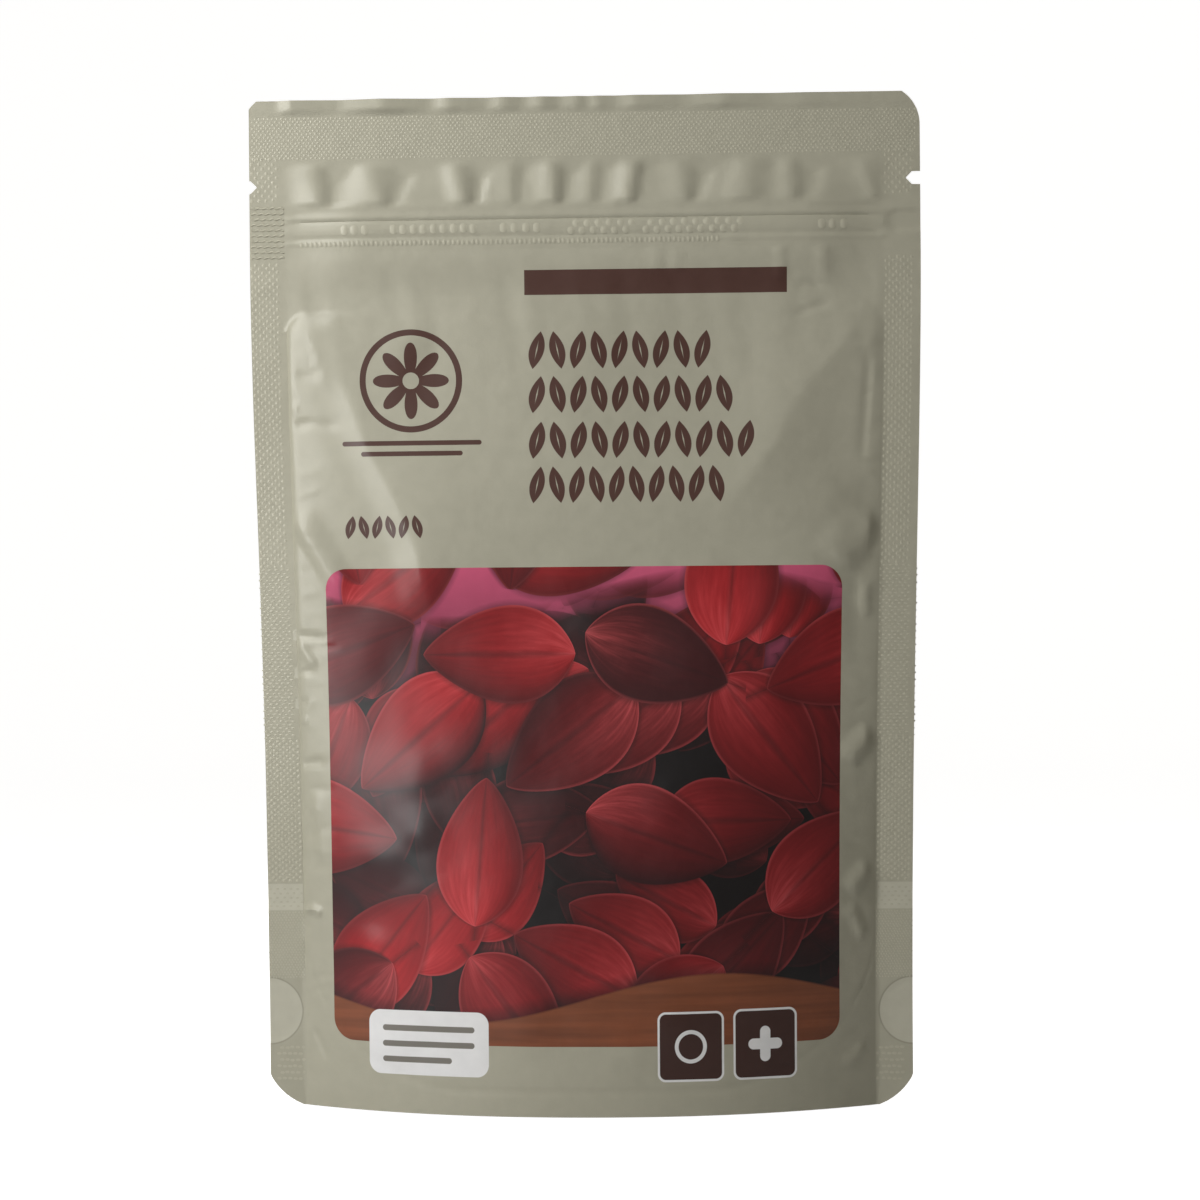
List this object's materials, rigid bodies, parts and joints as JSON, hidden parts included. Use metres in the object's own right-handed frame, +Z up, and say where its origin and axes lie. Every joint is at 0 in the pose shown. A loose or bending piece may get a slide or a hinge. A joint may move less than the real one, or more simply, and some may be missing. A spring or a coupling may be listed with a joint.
{
  "type": "stand-up zip pouch",
  "caption": "Sealed flexible stand-up pouch with a press-to-close zip, tear notches and a folded base gusset, holding dried berries.",
  "frame": {"origin": "on the surface that the pouch stands on, under the middle of its base", "axes": "+Z up; the printed front faces -Y; +X is to the right of someone who looks at the front"},
  "size_m": [0.14, 0.0356, 0.21],
  "materials": {
    "printed_laminate": "satin, pearlescent taupe film with embossed seals",
    "plain_laminate": "satin, unprinted taupe film",
    "zip_plastic": "smooth translucent polyethylene",
    "dried_berries": "wrinkled, lightly oiled skin"
  },
  "bodies": {
    "root": {"front_panel": "printed_laminate", "back_panel": "printed_laminate", "base_gusset": "plain_laminate", "zip_groove_strip": "zip_plastic", "zip_rib_strip": "zip_plastic", "berry_fill": "dried_berries"}
  },
  "joints": []
}
